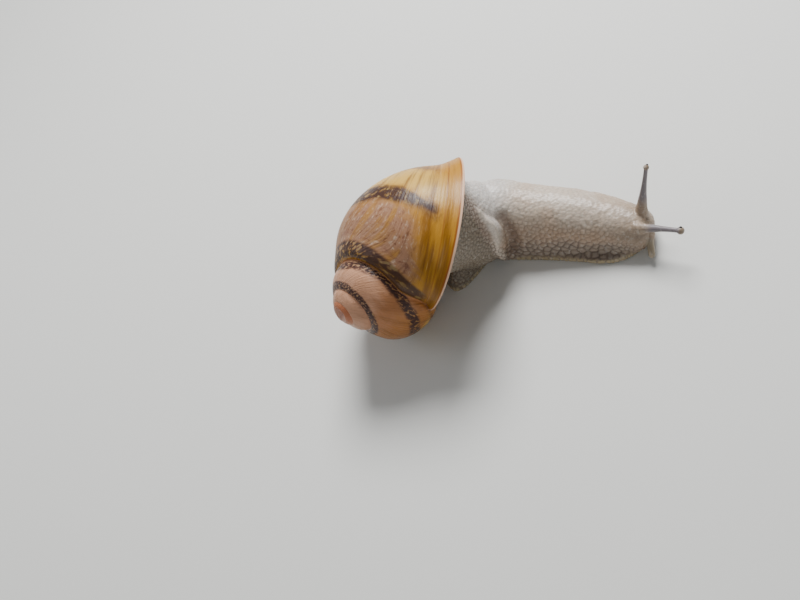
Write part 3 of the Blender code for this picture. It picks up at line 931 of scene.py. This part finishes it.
def smooth_where(obj, weights, times):
    """Smooths the object this many times over, as far as each point's weight says."""
    group = obj.vertex_groups.new(name="where")
    for index in np.nonzero(weights > 0.02)[0]:
        group.add([int(index)], float(weights[index]), "REPLACE")
    apply_modifier(obj, "SMOOTH", factor=0.5, iterations=times, vertex_group="where")
    obj.vertex_groups.clear()


def closeness(points, line, reach):
    """1 on a line through these places, falling to 0 at this reach from it."""
    steps = np.array([row[:] for row in rows_through(line, 12)])
    away = np.min([np.linalg.norm(points - step, axis=1) for step in steps], axis=0)
    return 1 - ramp(away, 0, reach)


def dent(points, normals, line, reach, depth):
    """Sinks a furrow along the line into the surface."""
    return points - normals * (closeness(points, line, reach) * depth)[:, None]


def shape_skin(skin, settings):
    """Raises the tubercles and grooves, and stores what the colours follow."""
    mesh = skin.data
    points = points_of(mesh) / MM
    normals = normals_of(mesh)
    # Near the fold's crest the skin is raised and near the valley it is sunk; the same masks, stored, paint a
    # highlight on the crest and shade in the valley.
    highlit_crest = closeness(points, CREST, 1.25)
    shaded_valley = closeness(points, VALLEY, 2.0)
    points = points + normals * (highlit_crest * 0.45 - shaded_valley * 0.3)[:, None]
    points = dent(points, normals, MOUTH, 0.7, 0.5)
    points = dent(points, normals, BREATHING_PORE, 1.0, 1.1)
    x, y, z = points.T
    share, upper = tentacle_share(points)
    on_tentacle = ramp(share, 0.16, 0.42)
    # Painted light on the stalk: there the colour's height is taken from how far the skin faces the key light
    # and lies towards the light's +Y side, so the lit side comes out paler.
    lit = ramp(normals @ np.array((0.0, 0.6, 0.8)), 0.1, 0.95)
    left = ramp(y, 2, 6)
    stalk = ramp(x, 1.8 + 5 * left, -0.8 - 5 * left) * ramp(z, 2, 6 + 5 * left)
    pale = np.maximum(lit, ramp(y, -11, -2) * (1 - left)) * (1 - 0.3 * left) * ramp(x, -13, -8)
    rise = z / np.maximum(back_height(x), 1) * (1 - stalk) + (0.2 + 0.75 * pale) * stalk
    back = ramp(rise + 0.12 * normals[:, 1], 0.62, 0.9) * ramp(x, -2, 1)
    margin = ramp(z, 1.5, 0.9) * ramp(np.abs(normals[:, 2]), 0.95, 0.7)
    under = ramp(normals[:, 2], -0.5, -0.9) * ramp(z, 0.6, 0.2)
    rear = ramp(x, 2.0, -1.0)
    size = 0.9 - 0.3 * ramp(x, 17, 26) - 0.3 * rear - 0.25 * ramp(rise, 0.35, 0.7) * (1 - rear)
    size = np.where(share > 0, TENTACLE_BEADS, size)
    round_beads = beads(points, (0.85, 1, 1), size, 1)
    long_beads = beads(points, (0.4, 1, 1), np.clip(size * 0.6, *BACK_BEADS), 2)
    rim_beads = beads(points, (1, 1, 0.25), np.full(len(points), RIM_BEADS), 3)
    height = round_beads * (1 - back) + long_beads * back
    height = height * (1 - margin) + rim_beads * margin
    strength = (1 - 0.45 * back) * (1 - 0.45 * margin) * (1 - 0.85 * on_tentacle) * (1 - under)
    strength *= (1 - 0.15 * ramp(x, 20, 27)) * (1 - 0.1 * rear) * (1 - 0.3 * ramp(rise, 0.4, 0.6))
    wave = fractal(points, 0.35, 1) * 0.10 + fractal(points, 1.1, 2) * 0.07
    lift = (height - BEAD_MIDDLE) * strength * settings.relief / MM + wave * (1 - on_tentacle) * (1 - under)
    points = points + normals * lift[:, None]
    points[:, 2] = np.maximum(points[:, 2], 0)
    move_points(mesh, points * MM)
    kept = {
        "bead": height, "margin": margin, "rise": rise, "tentacle": on_tentacle, "share": share,
        "upper": upper, "rear": rear, "highlit_crest": highlit_crest, "shaded_valley": shaded_valley,
    }
    for name, values in kept.items():
        store(mesh, name, values)


def skin_material(settings):
    """Flesh: paler above and darker below, partly painted light and shade; grooved and greyer below; painted
    shade in the valley and a painted highlight on the fold's crest; smooth and mauve on the tentacles.
    """
    soft = {"Subsurface_Weight": 0.1, "Subsurface_Scale": 0.5 * MM}
    sheet = Sheet("SnailSkin", Coat_Weight=0.15, Coat_Roughness=0.2, **soft)
    sheet.shader.inputs["Subsurface Radius"].default_value = (1.0, 0.6, 0.4)
    place = sheet.place()
    along, _, _ = sheet.parts(place)
    names = ("bead", "margin", "rise", "tentacle", "share", "upper", "rear", "highlit_crest", "shaded_valley")
    bead, margin, rise, tentacle, share, upper, rear, highlit_crest, shaded_valley = map(sheet.attribute, names)
    cloud = sheet.noise(place, 180.0, 3.0)
    patches = sheet.noise(place, 85.0, 2.0)
    fine = sheet.noise(place, 1400.0, 2.0)
    grain = sheet.noise(place, 3200.0, 1.0)

    # Paler on the high skin and darker on the low: partly the skin's own colouring, partly painted light on the
    # upper side and painted shade on the lower flanks; on the stalk the height itself is painted light.
    height = rise + cloud * 0.3 - 0.15
    high = sheet.ease(height, 0.55, 0.95)
    ground = sheet.mix(high, tuple(settings.flank), tuple(settings.back))
    # Whiter near the shell on the high skin, which on the stalk is its lit side: partly painted light.
    by_shell = sheet.ease(along, 5 * MM, -1 * MM) * high
    ground = sheet.mix(by_shell * 0.75, ground, srgb(222, 220, 218))
    ground = sheet.mix(sheet.ease(patches, 0.5, 0.66) * 0.4 * (1 - by_shell), ground, srgb(188, 150, 116))
    # Darker on the low flanks and on the low parts of the rear foot: painted shade over the skin's own greyer
    # tone there.
    low = sheet.ease(height, 0.62, 0.34) * (1 - rear)
    ground = sheet.mix(low * 0.85, ground, srgb(150, 136, 122))
    ground = sheet.mix(rear * (1 - high * 0.9) * 0.85, ground, srgb(158, 142, 130))
    ground = sheet.mix(rear * sheet.ease(height, 0.5, 0.3) * 0.7, ground, srgb(124, 116, 96))
    ground = sheet.mix(sheet.ease(along, 8 * MM, 24 * MM) * high * 0.6, ground, srgb(182, 164, 146))
    head = sheet.ease(along, 21 * MM, 25 * MM)
    ground = sheet.mix(head * 0.6, ground, srgb(150, 128, 106))
    # Painted shade in the valley beside the fold, and a painted highlight along the fold's crest.
    ground = sheet.mix(shaded_valley * 0.75, ground, srgb(112, 86, 66))
    ground = sheet.mix(highlit_crest * 0.85, ground, srgb(226, 212, 196))
    # The grooves' own dark colour, deepened on the low skin and the rear foot as painted shade.
    grooves = (low * 0.62 + rear * 0.7 * (1 - high) + 0.34).math("MINIMUM", 1.0)
    dark = (1 - bead) * grooves * (1 - margin * 0.4) * (1 - tentacle * 0.85)
    colour = sheet.mix(dark * 0.9, ground, tuple(settings.groove))
    colour = sheet.mix(margin * bead * 0.7, colour, tuple(settings.margin))
    colour = sheet.mix(tentacle * 0.9, colour, tuple(settings.tentacle))
    knob = sheet.ease(share, 0.9, 0.96) * upper
    colour = sheet.mix(knob * 0.8, colour, tuple(settings.knob))
    colour = sheet.mix(tentacle * (1 - upper) * 0.75, colour, srgb(172, 156, 126))
    colour = sheet.mix(sheet.ease(fine, 0.55, 0.75) * 0.25, colour, srgb(236, 228, 216))
    normal = sheet.bump(fine * 0.6 + cloud * 0.3 + grain * 0.3, 0.09 * MM, 0.7)
    rough = 0.5 - bead * 0.12 + fine * 0.1
    return sheet.feed(Base_Color=colour, Roughness=rough, Normal=normal)


class SNAIL_OT_skin(Operator):
    """Builds the skin: one surface over all the flesh, with its tubercles, grooves and tentacles"""

    bl_idname = "snail.skin"
    bl_label = "Skin"

    def execute(self, context):
        settings = snail_settings("skin")
        skin = build_skin(settings)
        shape_skin(skin, settings)
        skin.data.materials.clear()
        skin.data.materials.append(skin_material(settings))
        skin.data.shade_smooth()
        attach(skin, "root")
        flesh = [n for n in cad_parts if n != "shell" and not n.startswith("eye")]
        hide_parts(*sorted(flesh))
        return {"FINISHED"}


class SNAIL_OT_eyes(Operator):
    """Builds the two eyes, which sit in the knobs of the upper tentacles"""

    bl_idname = "snail.eyes"
    bl_label = "Eyes"

    def execute(self, context):
        sheet = Sheet("SnailEye", Roughness=0.08)
        cloud = sheet.noise(sheet.place(), 2500.0, 2.0)
        material = sheet.feed(Base_Color=sheet.mix(cloud, srgb(22, 16, 14), srgb(44, 32, 26)))
        for side in ("left", "right"):
            name = f"upper_tentacle_{side}"
            _, reach, _, _, _, knob = TENTACLES[name]
            centre = tentacle_point(name, 1 - knob / Vector(reach).length) + Vector(EYES[side])
            bpy.ops.object.select_all(action="DESELECT")
            bpy.ops.mesh.primitive_uv_sphere_add(
                segments=32, ring_count=20, radius=EYE_RADIUS * MM, location=centre * MM)
            eye = bpy.context.object
            eye.name = f"eye_ball_{side}"
            bpy.ops.object.transform_apply(location=True, rotation=True, scale=True)
            eye.data.shade_smooth()
            eye.data.materials.append(material)
            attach(eye, "root")
            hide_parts(f"eye_{side}")
        return {"FINISHED"}


# ---- stage ----


def plain_material(name, colour, roughness):
    """Nearly one colour, a little clouded."""
    sheet = Sheet(name)
    cloud = sheet.noise(sheet.place(), 30.0, 2.0)
    tone = sheet.mix(cloud * 0.04, colour, srgb(255, 255, 255))
    return sheet.feed(Base_Color=tone, Roughness=cloud * 0.02 + roughness)


def add_softbox(name, place, aim, size, power):
    """A round soft light that shines from its place towards its aim."""
    bpy.ops.object.select_all(action="DESELECT")
    bpy.ops.object.light_add(type="AREA", location=Vector(place) * MM)
    light = bpy.context.object
    light.name = name
    light.rotation_euler = (Vector(aim) * MM - light.location).to_track_quat("-Z", "Y").to_euler()
    light.data.shape = "DISK"
    light.data.size = size * MM
    light.data.energy = power


class SNAIL_OT_stage(Operator):
    """Sets the plain pale floor, the soft lights and the camera"""

    bl_idname = "snail.stage"
    bl_label = "Stage"

    def execute(self, context):
        bpy.ops.object.select_all(action="DESELECT")
        bpy.ops.mesh.primitive_plane_add(size=FLOOR_SIZE, location=(0, 0, 0))
        floor = bpy.context.object
        floor.name = "floor"
        floor.data.materials.append(plain_material("PaleFloor", srgb(226, 226, 222), 0.7))
        for name, light in LIGHTS.items():
            add_softbox(name, *light)
        world = bpy.data.worlds.new("SoftRoom")
        context.scene.world = world
        world.use_nodes = True
        background = world.node_tree.nodes["Background"]
        background.inputs["Color"].default_value = ROOM_COLOUR
        background.inputs["Strength"].default_value = ROOM_LIGHT
        bpy.ops.object.camera_add(location=CAMERA_PLACE * MM)
        camera = bpy.context.object
        turn = Matrix((CAMERA_RIGHT, CAMERA_UP, CAMERA_RIGHT.cross(CAMERA_UP))).transposed()
        camera.rotation_euler = turn.to_euler()
        camera.data.lens = LENS
        camera.data.sensor_width = SENSOR
        camera.data.clip_start = 10 * MM
        context.scene.camera = camera
        return {"FINISHED"}


class SNAIL_PT_panel(Panel):
    """Lists the snail's pieces and their settings"""

    bl_idname = "SNAIL_PT_panel"
    bl_label = "Garden Snail"
    bl_space_type = "VIEW_3D"
    bl_region_type = "UI"
    bl_category = "Snail"

    def draw(self, context):
        for kind in ("shell", "skin"):
            box = self.layout.box()
            settings = snail_settings(kind)
            for key in settings.__annotations__:
                box.prop(settings, key)
            box.operator("snail." + kind)
        self.layout.operator("snail.eyes")
        self.layout.operator("snail.stage")


CLASSES = (
    SnailShellSettings, SnailSkinSettings, SNAIL_OT_shell, SNAIL_OT_skin, SNAIL_OT_eyes, SNAIL_OT_stage,
    SNAIL_PT_panel,
)


def register():
    for kind in CLASSES:
        bpy.utils.register_class(kind)
    bpy.types.Scene.snail_shell = PointerProperty(type=SnailShellSettings)
    bpy.types.Scene.snail_skin = PointerProperty(type=SnailSkinSettings)


def unregister():
    del bpy.types.Scene.snail_skin
    del bpy.types.Scene.snail_shell
    for kind in reversed(CLASSES):
        bpy.utils.unregister_class(kind)


def main():
    register()
    bpy.ops.snail.stage()
    bpy.ops.snail.shell()
    bpy.ops.snail.skin()
    bpy.ops.snail.eyes()


if __name__ == "__main__":
    main()
